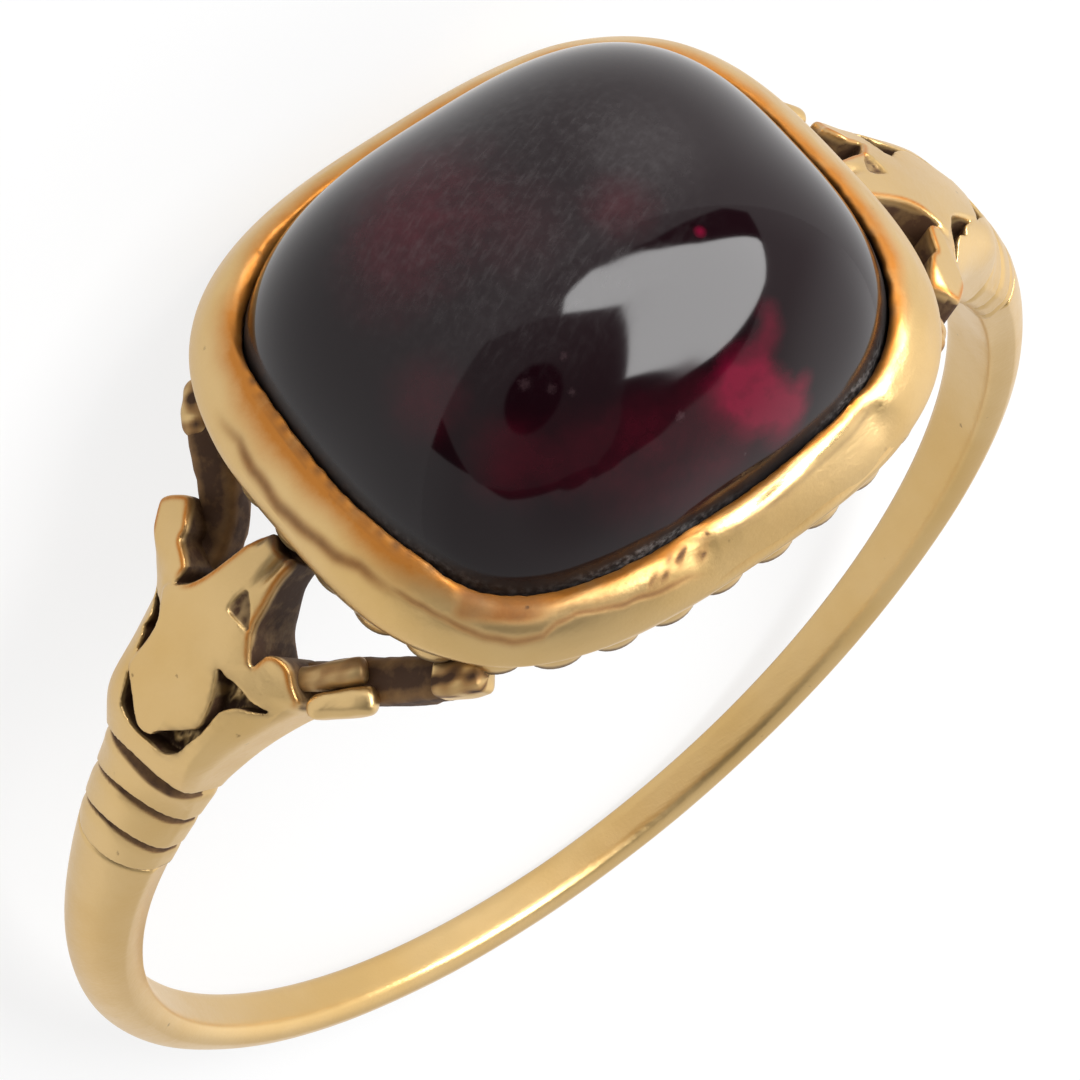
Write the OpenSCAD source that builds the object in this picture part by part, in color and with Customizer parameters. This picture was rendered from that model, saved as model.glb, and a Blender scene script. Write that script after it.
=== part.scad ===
// Garnet ring: a high cushion cabochon in a closed, fluted gold collet with a rolled rim.
// The ring is drawn about its finger hole, with the finger along Y and the stone above, and is
// then laid on its side, where it touches the table with the rim and with the back of the band.

/* [Finger hole] */
// Diameter of the finger hole
finger_d = 17.2; // [16.8:0.1:17.8]

/* [Band] */
// Width of the band at the back, along the finger
back_w = 0.8; // [0.7:0.05:1.1]
// Thickness of the band at the back
back_t = 0.9; // [0.7:0.05:1.1]
// Width of the band halfway up each side
side_w = 1.36; // [1.2:0.05:1.6]
// Thickness of the band halfway up each side
side_t = 0.9; // [0.7:0.05:1]
// Depth of the three collar grooves
groove_depth = 0.14; // [0.06:0.02:0.2]

/* [Shoulders] */
// Width over the two side claws, where the shoulder forks
fork_w = 3.5; // [3.2:0.1:3.8]
// Thickness of the shoulder at the fork
fork_t = 1.5; // [1.3:0.05:1.6]
// Width of the middle leaf at the fork
leaf_w = 1.6; // [1.4:0.1:1.8]
// Depth of the sunk recesses beside the middle leaf
recess_depth = 0.45; // [0.3:0.05:0.6]
// Thickness of the claw bars that carry the bezel
bar_t = 0.66; // [0.56:0.02:0.74]

/* [Bezel] */
// Width of the rolled rim, from the edge of the stone outwards
rim_w = 0.74; // [0.6:0.02:0.9]
// Number of flutes round the collet
flute_count = 34; // [30:2:38]
// Depth of the valleys between the flutes
flute_depth = 0.2; // [0.1:0.02:0.24]

/* [Stone] */
// Length of the stone, across the finger
stone_len = 9.0; // [8.6:0.1:9.2]
// Width of the stone, along the finger
stone_w = 7.7; // [7.4:0.1:7.9]
// Height of the dome above the girdle
dome_h = 3.45; // [2.8:0.05:3.8]
// Clear gap between the stone and its collet
stone_gap = 0.05; // [0.03:0.01:0.08]

/* [Hidden] */

finger_r = finger_d / 2;
// How far each shape starts inside the finger hole, which is then cut through all of them
under_cut = 0.35;
hole_cut_len = 12;

// Heights above the middle of the finger hole, from the back of the collet to the girdle
back_z = finger_r + 0.06;
seat_z = back_z + 0.38;
flute_top_z = back_z + 0.34;
bead_z = back_z + 0.68;
girdle_z = back_z + 0.95;
lip_z = girdle_z + 0.38;

// The cushion outline, as a superellipse of this power
cushion_power = 2.95;
// Round bead under the lip: its radius and its middle outside the girdle
bead_r = 0.32;
bead_out = rim_w - bead_r;
// Thickness of the lip, and how far its top turns in over the stone's side
lip_t = 0.28;
lip_in = 0.03;

// Samples round the bezel: four to each flute
bezel_steps = 4 * flute_count;
stone_steps = 60;

// Angles of the collar grooves above the middle of the finger hole
collars = [23.4, 28.2, 33];
collar_half = 0.9;

// Sections of the band: angle above the middle of the hole, half width, thickness and how far
// the middle of the section lies off centre
ANGLE = 0;
HALF_W = 1;
THICK = 2;
MIDDLE = 3;
band_table = [
    [-90, back_w / 2, back_t, 0],
    [-60, back_w / 2 + 0.03, back_t - 0.06, 0],
    [-40, back_w / 2 + 0.08, (back_t + side_t) / 2 - 0.14, 0],
    [-15, side_w / 2 - 0.08, side_t - 0.02, 0],
    [0, side_w / 2 + 0.02, side_t + 0.06, 0],
    [14, side_w / 2 + 0.12, side_t + 0.14, 0],
    [24, side_w / 2 + 0.25, side_t + 0.24, 0],
    [33, side_w / 2 + 0.38, side_t + 0.38, 0.04],
    [38, fork_w / 2 - 0.5, fork_t - 0.08, 0.14],
    [43, fork_w / 2 - 0.32, fork_t - 0.02, 0.14],
    [49.5, fork_w / 2 - 0.22, fork_t + 0.02, 0.02]
];
fork_angle = band_table[len(band_table) - 1][ANGLE];

// Middle leaf: angle, half width, inner and outer distance from the middle of the hole
leaf_table = [
    [37.5, leaf_w / 2 - 0.42, finger_r + 0.5, finger_r + fork_t - 0.12],
    [39.5, leaf_w / 2 - 0.16, finger_r + 0.4, finger_r + fork_t + 0.02],
    [43.5, leaf_w / 2, finger_r - under_cut, finger_r + fork_t + 0.12],
    [47, leaf_w / 2 - 0.02, finger_r - under_cut, finger_r + fork_t + 0.16],
    [50.5, leaf_w / 2, finger_r - 0.1, finger_r + fork_t + 0.16],
    [54, leaf_w / 2 - 0.26, finger_r + 0.4, finger_r + fork_t + 0.16],
    [57.5, leaf_w / 2 - 0.4, finger_r + 0.6, finger_r + fork_t + 0.2],
    [60, leaf_w / 2 - 0.46, finger_r + 0.8, finger_r + fork_t + 0.22]
];

// Side claw: angle, middle along the finger, half width, inner and outer distance
claw_table = [
    [45.5, fork_w / 2 - 0.68, 0.22, finger_r - under_cut, finger_r + fork_t - 0.12],
    [48.5, fork_w / 2 - 0.52, 0.32, finger_r - under_cut, finger_r + fork_t + 0.04],
    [51.5, fork_w / 2 - 0.3, 0.32, finger_r - 0.05, finger_r + fork_t + 0.1],
    [54, fork_w / 2 - 0.06, 0.24, finger_r + 0.3, finger_r + fork_t + 0.06],
    [55.5, fork_w / 2 + 0.02, 0.16, finger_r + 0.7, finger_r + fork_t - 0.1]
];

// Claw bars: angle, middle along the finger, distance of the middle line and share of the full
// thickness. Each runs close to the finger and then up to the collet, the long one near its
// corner and the short one nearer the middle of its side
long_bar = [
    [49, 1.1, finger_r + 0.4, 1],
    [53, 1.58, finger_r + 0.42, 1],
    [55.8, 1.98, finger_r + 0.46, 1],
    [58.3, 2.4, finger_r + 0.6, 1],
    [60.8, 2.82, finger_r + 0.9, 0.96],
    [63.2, 3.22, finger_r + 1.1, 0.88],
    [64.7, 3.46, finger_r + 1.2, 0.66]
];
short_bar = [
    [49, 1.1, finger_r + 0.4, 1],
    [53, 1.34, finger_r + 0.42, 1],
    [55.8, 1.58, finger_r + 0.5, 1],
    [58, 1.86, finger_r + 0.7, 1],
    [60, 2.3, finger_r + 0.95, 0.96],
    [61.8, 2.7, finger_r + 1.12, 0.88],
    [63.4, 2.94, finger_r + 1.2, 0.66]
];

// Sunk recesses, each an outline of angle and distance along the finger
recesses = [
    [[36.6, 0.1], [37.2, -0.5], [40.6, -0.84], [41.5, -0.62], [38.6, -0.3], [37.9, 0.1]],
    [[36.8, 0.16], [38, 0.34], [39.4, 0.6], [41.2, 0.92], [37.2, 0.72]],
    [[41.4, -0.92], [44.4, -1.12], [48.2, -1.4], [46.6, -0.9], [42.4, -0.78]],
    [[43.6, 0.86], [46, 0.82], [47.6, 0.9], [47.6, 1.24]]
];

// A point given by its angle above the middle of the hole, its place along the finger
// and its distance from the middle, on the side towards minus X
function on_shoulder(angle, along, distance) =
    [-distance * cos(angle), along, distance * sin(angle)];

// Value in one column of a table at an angle between its rows
function between(table, column, angle) =
    lookup(angle, [for (row = table) [row[ANGLE], row[column]]]);

// How far a collar groove cuts in at an angle
function groove(angle) =
    groove_depth * max([for (c = collars) max(0, 1 - abs(angle - c) / collar_half)]);

// Cross-section of the band: an arc outside, and square inside the finger hole. The arc starts
// at a share of the thickness
arc_steps = 8;
edge_share = 0.28;
function band_section(side, angle) = let (
    half = between(band_table, HALF_W, angle) - groove(angle) / 2,
    edge = edge_share * between(band_table, THICK, angle),
    rise = between(band_table, THICK, angle) - edge - groove(angle))
    [for (i = [0 : arc_steps + 2]) let (
        turn = (i - 1) * 180 / arc_steps,
        inside = i == 0 || i == arc_steps + 2,
        along = inside ? (i == 0 ? half : -half) : half * cos(turn),
        out = inside ? -under_cut : edge + rise * sin(turn),
        p = on_shoulder(angle, along + side * between(band_table, MIDDLE, angle), finger_r + out))
        [side * p[0], p[1], p[2]]];

// Angles of the sections up one side of the band, closer together where it changes
side_angles = concat(
    [for (a = [-85 : 5 : 20]) a],
    [for (c = collars) each [c - collar_half, c, c + collar_half]],
    [for (a = [36, 38, 40.5, 43, 46, fork_angle]) a]);

// The band runs from one fork down round the back and up to the other
band_rings = concat(
    [for (i = [len(side_angles) - 1 : -1 : 0]) band_section(1, side_angles[i])],
    [band_section(1, -90)],
    [for (a = side_angles) band_section(-1, a)]);

// Closed solid through a list of rings that all have the same number of points
module skin(rings) {
    count = len(rings[0]);
    last = len(rings) - 1;
    sides = [for (i = [0 : last - 1], j = [0 : count - 1]) let (k = (j + 1) % count)
        each [[i * count + j, i * count + k, (i + 1) * count + k],
              [i * count + j, (i + 1) * count + k, (i + 1) * count + j]]];
    ends = [[for (j = [count - 1 : -1 : 0]) j], [for (j = [0 : count - 1]) last * count + j]];
    polyhedron(points = [for (ring = rings) each ring], faces = concat(sides, ends));
}

// Ring of the middle leaf or of a claw: square inside, with its two outer corners cut off
corner_drop = 0.12;
corner_share = 0.3;
function leaf_ring(angle, middle, half, inner, outer) = let (ease = corner_share * half)
    [for (c = [[-half, inner], [-half, outer - corner_drop], [ease - half, outer],
               [half - ease, outer], [half, outer - corner_drop], [half, inner]])
        on_shoulder(angle, middle + c[0], c[1])];

// Section of a claw bar, square to a run that goes as far along the finger as round it
function bar_ring(row, side) = let (
    half = row[3] * bar_t / 2,
    slant = half * cos(45),
    corners = [[-1, -1], [-1, 1], [1, 1], [1, -1]],
    in_order = side > 0 ? corners : [for (i = [3 : -1 : 0]) corners[i]])
    [for (c = in_order)
        on_shoulder(row[0] - c[0] * slant * 180 / PI / row[2],
                    side * (row[1] + c[0] * slant), row[2] + c[1] * half)];

// Cushion outline at a distance outside the stone's girdle: one point for a polar angle
function cushion_point(turn, out) = let (
    a = stone_len / 2 + out,
    b = stone_w / 2 + out,
    reach = pow(pow(abs(cos(turn)) / a, cushion_power) + pow(abs(sin(turn)) / b, cushion_power),
                -1 / cushion_power))
    [reach * cos(turn), reach * sin(turn)];

// Polar angles that divide the outline into equal lengths, from a table of running length
turn_step = 2;
outline = [for (turn = [0 : turn_step : 360]) cushion_point(turn, bead_out)];
running = [for (i = 0, s = 0; i < len(outline);
                s = s + (i + 1 < len(outline) ? norm(outline[i + 1] - outline[i]) : 0), i = i + 1) s];
turn_of_length = [for (i = [0 : len(outline) - 1]) [running[i], turn_step * i]];
outline_length = running[len(running) - 1];

function even_turns(count) =
    [for (i = [0 : count - 1]) lookup(i * outline_length / count, turn_of_length)];

// Level ring of the bezel or the stone, round the cushion outline
function level_ring(turns, out, z, flute) =
    [for (i = [0 : len(turns) - 1]) let (
        valley = (1 - cos(90 * (i % 4))) / 2,
        p = cushion_point(turns[i], out - flute * flute_depth * valley))
        [p[0], p[1], z]];

// Profile of the bezel, from the seat up inside, over the lip and the bead and down the flutes:
// distance outside the girdle, height, and how much of the flutes' depth it takes
bezel_profile = [
    [-1.2, seat_z, 0],
    [stone_gap, seat_z, 0],
    [stone_gap, girdle_z + 0.04, 0],
    [stone_gap - lip_in, lip_z, 0],
    [stone_gap + 0.1, lip_z + 0.15, 0],
    [stone_gap + lip_t, lip_z + 0.13, 0],
    [stone_gap + lip_t + 0.13, lip_z - 0.06, 0],
    [bead_out + 0.08, bead_z + 0.36, 0],
    [bead_out + bead_r * cos(45), bead_z + bead_r * sin(45), 0],
    [rim_w, bead_z, 0],
    [bead_out + bead_r * cos(50), bead_z - bead_r * sin(50), 0],
    [rim_w - 0.24, flute_top_z, 0.5],
    [rim_w - 0.13, back_z + 0.17, 1],
    [rim_w - 0.18, back_z + 0.05, 1],
    [rim_w - 0.38, back_z, 0.8]
];
bezel_turns = even_turns(bezel_steps);
bezel_rings = [for (row = bezel_profile) level_ring(bezel_turns, row[0], row[1], row[2])];

// Profile of the stone: a flat base with its edge cut off, a straight side and a high dome.
// Each row is the distance outside the girdle, the height and the share of the outline
dome_levels = 11;
top_share = 0.6;
dome_flat = 2.4;
dome_side = 1.85;
base_edge = 0.15;
function dome_share(reach) = pow(1 - pow(reach, dome_flat), 1 / dome_side);
stone_profile = concat(
    [[-base_edge, seat_z + stone_gap, 1],
     [0, seat_z + stone_gap + base_edge, 1],
     [0, girdle_z, 1]],
    [for (i = [1 : dome_levels]) let (reach = sin(90 * (1 - i / (dome_levels + top_share))))
        [0, girdle_z + dome_h * dome_share(reach), reach]]);
stone_turns = even_turns(stone_steps);
// From the top down, so that its faces point outwards
stone_rings = [for (i = [len(stone_profile) - 1 : -1 : 0]) let (row = stone_profile[i])
    [for (p = level_ring(stone_turns, row[0], row[1], 0)) [row[2] * p[0], row[2] * p[1], p[2]]]];

// The ring lies on its side. Its lean is found where the rim and the band touch the table alike
function lowest(rings, lean) =
    min([for (ring = rings, p = ring) p[2] * sin(lean) - p[1] * cos(lean)]);
function settle(low, high, tries) = let (mid = (low + high) / 2)
    tries == 0 ? mid
    : lowest(bezel_rings, mid) < lowest(band_rings, mid)
        ? settle(mid, high, tries - 1)
        : settle(low, mid, tries - 1);
lean = settle(5, 20, 16);

// Reach of the lying ring along Y, from the top of the dome to the back of the band
function along_y(rings) =
    [for (ring = rings, p = ring) -p[1] * sin(lean) - p[2] * cos(lean)];
front_y = min(along_y(stone_rings));
back_y = max(along_y(band_rings));

module lie_down() {
    translate([0, -(front_y + back_y) / 2, -lowest(bezel_rings, lean)])
        rotate([0, 0, 180])
            rotate([lean - 90, 0, 0])
                children();
}

// One shoulder's middle leaf, two claws and two bars, on the side towards minus X
module fork() {
    skin([for (row = leaf_table) leaf_ring(row[0], 0, row[1], row[2], row[3])]);
    for (side = [-1, 1])
        skin([for (row = claw_table) leaf_ring(row[0], side * row[1], row[2], row[3], row[4])]);
    skin([for (row = long_bar) bar_ring(row, -1)]);
    skin([for (row = short_bar) bar_ring(row, 1)]);
}

// A recess is cut from its floor out past the surface
past = 0.6;
module recess(points) {
    surface_r = finger_r + fork_t;
    skin([for (r = [surface_r + past, surface_r - recess_depth])
        [for (p = points) on_shoulder(p[0], p[1], r)]]);
}

// Both shoulders are alike, turned half round the stone
module each_shoulder() {
    for (turn = [0, 180])
        rotate([0, 0, turn]) children();
}

module bezel() {
    skin(bezel_rings);
}

// Gold work: band, shoulders, collet and rim, soldered into one body
module gold_mount() {
    color("#c8a45c") lie_down() {
        difference() {
            union() {
                skin(band_rings);
                each_shoulder() fork();
            }
            each_shoulder()
                for (points = recesses) recess(points);
            rotate([90, 0, 0]) cylinder(h = hole_cut_len, r = finger_r, center = true, $fn = 120);
        }
        bezel();
    }
}

// Garnet cabochon
module garnet() {
    color("#3a0d18") lie_down() skin(stone_rings);
}

gold_mount();
garnet();
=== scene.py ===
import math

import bpy
import numpy as np
from mathutils import Matrix, Vector


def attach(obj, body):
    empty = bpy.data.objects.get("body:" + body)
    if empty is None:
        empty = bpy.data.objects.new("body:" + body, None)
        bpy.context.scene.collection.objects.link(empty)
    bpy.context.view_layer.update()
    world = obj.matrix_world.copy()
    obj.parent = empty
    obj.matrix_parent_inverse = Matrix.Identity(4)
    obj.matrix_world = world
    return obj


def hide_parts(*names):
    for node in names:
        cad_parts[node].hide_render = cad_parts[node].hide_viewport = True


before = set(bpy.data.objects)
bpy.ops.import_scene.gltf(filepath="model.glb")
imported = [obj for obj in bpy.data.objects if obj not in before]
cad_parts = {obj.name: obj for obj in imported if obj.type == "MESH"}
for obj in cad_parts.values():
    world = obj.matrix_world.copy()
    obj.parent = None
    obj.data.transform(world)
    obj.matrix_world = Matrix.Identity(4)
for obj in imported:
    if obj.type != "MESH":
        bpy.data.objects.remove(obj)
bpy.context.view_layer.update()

# Hoop
# The slim band of the ring, in yellow gold of 15 to 18 carat: domed outside, with flat sides and
# a plain round finger hole, rubbed satin by wear. Its two ends are soldered into the shoulders
# at the lowest collar.
MM = 0.001
FINGER_R = 8.6
LEAN = math.radians(12.8915)  # the ring lies on its side, and leans on its rim
HOLE_MIDDLE = (0, 1.8113, 2.3905)  # middle of the finger hole above the table
SEAM = 22.6  # angle of the solder seams above the middle of the hole


def on_the_table(points):
    """The ring's own millimetres, finger along Y and stone up, as metres where the ring lies."""
    x, y, z = np.asarray(points, float).T
    s, c = math.sin(LEAN), math.cos(LEAN)
    laid = np.stack([-x, -s * y - c * z, -c * y + s * z], 1)
    return (laid + HOLE_MIDDLE) * MM


def on_shoulder(angle, along, height):
    """A point by its angle above the middle of the hole, along the finger, above the hole's wall."""
    turn, reach = np.radians(angle), FINGER_R + height
    return np.stack(np.broadcast_arrays(-reach * np.cos(turn), along, reach * np.sin(turn)), -1)


def curve_through(table, column, at):
    """A smooth line through one column of a table whose first column rises."""
    table = np.asarray(table, float)
    x, y = table[:, 0], table[:, column]
    slope = np.gradient(y, x)
    i = np.clip(np.searchsorted(x, at) - 1, 0, len(x) - 2)
    h = x[i + 1] - x[i]
    t = np.clip((at - x[i]) / h, 0, 1)
    return ((2 * t**3 - 3 * t**2 + 1) * y[i] + (t**3 - 2 * t**2 + t) * h * slope[i]
            + (3 * t**2 - 2 * t**3) * y[i + 1] + (t**3 - t**2) * h * slope[i + 1])


def ripple(*at, seed, size):
    """Soft unevenness of hand work, about -1 to 1, with bumps of that size in millimetres."""
    luck = np.random.default_rng(seed)
    total = 0
    for octave in range(7):
        way = luck.normal(size=len(at))
        way *= 2 * math.pi / size * (0.6 + 0.25 * octave) / np.linalg.norm(way)
        total = total + np.sin(sum(w * np.asarray(p) for w, p in zip(way, at)) + luck.uniform(0, 6.3))
    return total / 3


def show(name, mesh, marks):
    """A smooth piece of that mesh, with what varies over its surface stored by name."""
    mesh.polygons.foreach_set("use_smooth", [True] * len(mesh.polygons))
    for mark, values in marks.items():
        mesh.attributes.new(mark, "FLOAT", "POINT").data.foreach_set(
            "value", np.asarray(values, np.float32).ravel())
    piece = bpy.data.objects.new(name, mesh)
    bpy.context.scene.collection.objects.link(piece)
    return piece


def make_piece(name, points, marks, material, faces=None):
    """A closed piece, laid on the table, from its rings of points, or from points and faces."""
    mesh = bpy.data.meshes.new(name)
    mesh.from_pydata(on_the_table(points.reshape(-1, 3)).tolist(), [], faces or skin(points))
    mesh.materials.append(material)
    return show(name, mesh, marks)


def skin(rings, meet=False):
    """Faces over rings of points, each ring closed; the ends get a flat face unless they meet."""
    count, size = rings.shape[:2]
    steps = count if meet else count - 1
    i, j = np.meshgrid(np.arange(steps), np.arange(size), indexing="ij")
    k, n = (j + 1) % size, (i + 1) % count
    faces = np.stack([i * size + j, i * size + k, n * size + k, n * size + j], -1)
    faces = faces.reshape(-1, 4).tolist()
    if not meet:
        faces += [list(range(size))[::-1], [(count - 1) * size + s for s in range(size)]]
    return faces


class Socket:
    """A socket of a node tree. Sums on it add Math nodes; add() makes any other node."""

    def __init__(self, tree, socket=None):
        self.tree, self.socket = tree, socket

    def add(self, kind, settings={}, sockets={}, out=0):
        node = self.tree.nodes.new(kind)
        for name, value in settings.items():
            if name == "stops":  # of a colour ramp
                while len(node.color_ramp.elements) < len(value):
                    node.color_ramp.elements.new(1)
                for stop, (place, tone) in zip(node.color_ramp.elements, value):
                    stop.position, stop.color = place, tone
            else:
                setattr(node, name, value)
        for name, value in sockets.items():
            target = node.inputs[name]
            if isinstance(value, Socket):
                self.tree.links.new(value.socket, target)
            else:
                target.default_value = value
        return Socket(self.tree, node.outputs[out])

    def other(self, out):
        """Another output of the same node."""
        return Socket(self.tree, self.socket.node.outputs[out])

    def sum(self, operation, *values):
        return self.add("ShaderNodeMath", {"operation": operation}, dict(enumerate(values)))

    def __add__(self, other): return self.sum("ADD", self, other)
    def __sub__(self, other): return self.sum("SUBTRACT", self, other)
    def __rsub__(self, other): return self.sum("SUBTRACT", other, self)
    def __mul__(self, other): return self.sum("MULTIPLY", self, other)
    __radd__, __rmul__ = __add__, __mul__

    def limited(self):
        return self.add("ShaderNodeClamp", {}, {"Value": self})

    def spread(self, low, high):
        """0 below low, 1 above high, and a soft rise between them."""
        return self.add("ShaderNodeMapRange", {"interpolation_type": "SMOOTHSTEP"},
                        {"Value": self, "From Min": low, "From Max": high})

    def mark(self, name):
        return self.add("ShaderNodeAttribute", {"attribute_name": name}, out=2)

    def noise(self, size, detail=3, rough=0.5, drawn_out=0, turned=(0.5, 0.3, 0.4)):
        """Noise about 0.5 with patches of that size in millimetres, some times as long if drawn out."""
        place = self.add("ShaderNodeTexCoord", out=3)
        if drawn_out:
            place = self.add("ShaderNodeMapping", {"vector_type": "TEXTURE"},
                             {"Vector": place, "Scale": (drawn_out, 1, 1), "Rotation": turned})
        return self.add("ShaderNodeTexNoise", {}, {
            "Vector": place, "Scale": 1 / (size * MM), "Detail": detail, "Roughness": rough})

    def to_spots(self, size):
        """Distance to the nearest of many scattered spots that far apart, as a share of it."""
        return self.add("ShaderNodeTexVoronoi", {}, {
            "Vector": self.add("ShaderNodeTexCoord", out=3), "Scale": 1 / (size * MM)})

    def apart(self, spot):
        """Distance in millimetres from a spot given in the ring's own millimetres."""
        place = self.add("ShaderNodeTexCoord", out=3)
        apart = self.add("ShaderNodeVectorMath", {"operation": "DISTANCE"},
                         {0: place, 1: tuple(on_the_table([spot])[0])}, out=1)
        return apart * (1 / MM)

    def tint(self, share, colour, other):
        """From colour to other by share."""
        return self.add("ShaderNodeMix", {"data_type": "RGBA"}, {0: share, 6: colour, 7: other}, out=2)


def shader(name, fixed, varying):
    """A material with one main shader: fixed numbers, and links for what varies."""
    material = bpy.data.materials.new(name)
    material.use_nodes = True
    tree = material.node_tree
    main = tree.nodes["Principled BSDF"]
    for socket, value in fixed.items():
        main.inputs[socket].default_value = value
    for socket, value in varying(Socket(tree)).items():
        tree.links.new(value.socket, main.inputs[socket])
    return material


GOLD = (0.64, 0.445, 0.205, 1)
DEEP_GOLD = (0.6, 0.395, 0.155, 1)
# Brown of patina, also laid on as painted shade
BROWN_AND_SHADE = (0.062, 0.03, 0.015, 1)
COPPER = (0.46, 0.175, 0.03, 1)


def gold_finish(s):
    """Worn gold: satin, a little uneven in colour, brown where nothing rubs it and where shade is
    painted.
    """
    cloud, grain = s.noise(2.6, 4), s.noise(0.28, 5, 0.6)
    hollow = (s.mark("patina") + (grain - 0.5) * 0.7 * s.mark("patina")).limited()
    stain = (s.mark("stain") * (0.45 + 1.1 * s.noise(0.5, 5, 0.65))).limited()
    scratch = s.noise(0.05, 2, 0.5, 9) + s.noise(0.06, 2, 0.5, 8, (0.2, 0.9, 1.9))
    tone = s.tint(cloud.spread(0.35, 0.7), GOLD, DEEP_GOLD)
    tone = s.tint(stain, tone, COPPER)
    pit = 1 - (s.to_spots(0.55) + 0.2 * s.noise(0.05, 2)).spread(0.12, 0.19)
    pit = pit * s.noise(0.9, 2).spread(0.45, 0.6)
    tone = s.tint((hollow + 0.55 * pit).limited(), tone, BROWN_AND_SHADE)
    height = 0.5 * scratch + 0.7 * grain + 1.5 * s.noise(0.9, 2) - 0.5 * pit
    return {"Base Color": tone,
            "Roughness": (0.2 + 0.16 * s.noise(0.6, 3) + 0.07 * scratch - 0.09 * s.mark("polish")
                          + 0.32 * hollow + 0.1 * stain).limited(),
            "Metallic": (1 - 0.95 * hollow - 0.25 * stain).limited(),
            "Normal": s.add("ShaderNodeBump", {}, {
                "Height": height, "Strength": 0.12, "Distance": 0.05 * MM})}


gold = shader("worn_gold", {"IOR": 1.5, "Specular IOR Level": 0.22}, gold_finish)

# Angle, half width, thickness, middle off centre, share of the thickness that is flat side
BAND = [
    (-90, 0.4, 0.86, 0, 0.4), (-60, 0.43, 0.82, 0, 0.4), (-40, 0.48, 0.77, 0, 0.42),
    (-15, 0.58, 0.88, 0, 0.44), (0, 0.66, 0.96, 0, 0.46), (14, 0.75, 1.04, 0, 0.46),
    (24, 0.86, 1.14, 0, 0.46), (33, 0.96, 1.28, 0.02, 0.46), (38, 1.1, 1.42, 0.05, 0.5),
    (43, 1.3, 1.48, 0.05, 0.55), (49.5, 1.53, 1.52, 0.02, 0.6), (66, 1.53, 1.6, 0.02, 0.6)]
DOMED = 0.72  # how quickly the dome falls away to the sides


def band_top(angle, along):
    """Height of the band's outside above the wall of the finger hole."""
    half, thick, middle, side = (curve_through(BAND, c, angle) for c in (1, 2, 3, 4))
    w = np.clip(np.abs(along - middle) / half, 0, 1)
    return thick * (side + (1 - side) * (1 - w**2) ** DOMED)


OUTSIDE, INSIDE = 44, 14  # points across a section's outside and inside
SECTIONS = 150  # down each side
HOLE_EDGE, TUCK = 0.16, 0.02  # rounding of the hole's edges, and how far their corners sit in
DENTS, DENTS_BEGIN = 0.008, 12  # depth of the dents, and degrees over which they begin


def hoop_ring(angle, side):
    """One section of the hoop, on the left side, or on the right where side is -1."""
    half, middle = curve_through(BAND, 1, angle), side * curve_through(BAND, 3, angle)
    out = middle - half * np.cos(np.linspace(0, math.pi, OUTSIDE))
    back = np.linspace(1, -1, INSIDE + 2)[1:-1]
    along = np.concatenate([out, middle + back * half])
    height = np.concatenate([band_top(angle, side * out), HOLE_EDGE * np.abs(back) ** 6])
    height[[0, OUTSIDE - 1]] -= TUCK
    ring = on_shoulder(angle, along, height)
    ring[:, 0] *= side
    return ring


def unit(ways):
    return ways / np.linalg.norm(ways, axis=-1, keepdims=True)


steps = np.linspace(SEAM, -90, SECTIONS)
rings = np.array([hoop_ring(a, 1) for a in steps] + [hoop_ring(a, -1) for a in steps[-2::-1]])
angles = np.concatenate([steps, steps[-2::-1]])
outward = unit(rings * (1, 0, 1))
fade = np.clip((SEAM - angles) / DENTS_BEGIN, 0, 1)[:, None] * (np.arange(OUTSIDE + INSIDE) < OUTSIDE)
dents = DENTS * ripple(*np.moveaxis(rings, -1, 0), seed=4, size=3.5)
rings += outward * (fade * dents)[..., None]
hoop = make_piece("hoop", rings, {}, gold)
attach(hoop, "root"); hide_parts("gold_mount")

# Shoulders
# Each is a calyx carved from one piece of gold: three collars, a raised shield over sunk recesses,
# a broad leaf that tucks under the rim, and a claw to each side of it. The hollows are dark with
# age, and painted shade darkens the recesses, the walls under the leaf and the parts under the rim.
# It is soldered to the hoop and to the collet, and the two are alike, turned half round.
GRAIN = 0.033  # distance between the carving's sample points


def soften(corners, times=2):
    """A closed outline with its corners cut off, which leaves it smooth."""
    corners = np.asarray(corners, float)
    for _ in range(times):
        after = np.roll(corners, -1, 0)
        corners = np.stack([0.75 * corners + 0.25 * after, 0.25 * corners + 0.75 * after], 1)
        corners = corners.reshape(-1, 2)
    return corners


EVEN = math.pi / 180 * (FINGER_R + 1.4)  # millimetres to a degree along the shoulder


def to_side(x, y, start, end):
    """Distance to the straight line between two corners."""
    (ax, ay), (bx, by) = start, end
    ex, ey = bx - ax, by - ay
    t = np.clip(((x - ax) * ex + (y - ay) * ey) / (ex * ex + ey * ey + 1e-12), 0, 1)
    return np.hypot(x - ax - t * ex, y - ay - t * ey)


def inside_of(outline, angle, along):
    """Distance to an outline laid over the shoulder, below 0 inside it."""
    corners = np.asarray(outline) * (EVEN, 1)
    x, y = angle * EVEN, along
    nearest, inside = 1e9, False
    for (ax, ay), (bx, by) in zip(corners, np.roll(corners, -1, 0)):
        nearest = np.minimum(nearest, to_side(x, y, (ax, ay), (bx, by)))
        crossing = (y - ay) * (bx - ax) / (by - ay if by != ay else 1e-9) + ax
        inside ^= ((ay > y) != (by > y)) & (x < crossing)
    return np.where(inside, -nearest, nearest)


def rise(value, low, high):
    t = np.clip((value - low) / (high - low), 0, 1)
    return t * t * (3 - 2 * t)


def cut_by(a, b, edge):
    """What is in both solids, with the edge between them rounded."""
    t = np.clip(0.5 + 0.5 * (a - b) / edge, 0, 1)
    return a * t + b * (1 - t) + edge * t * (1 - t)


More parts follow.
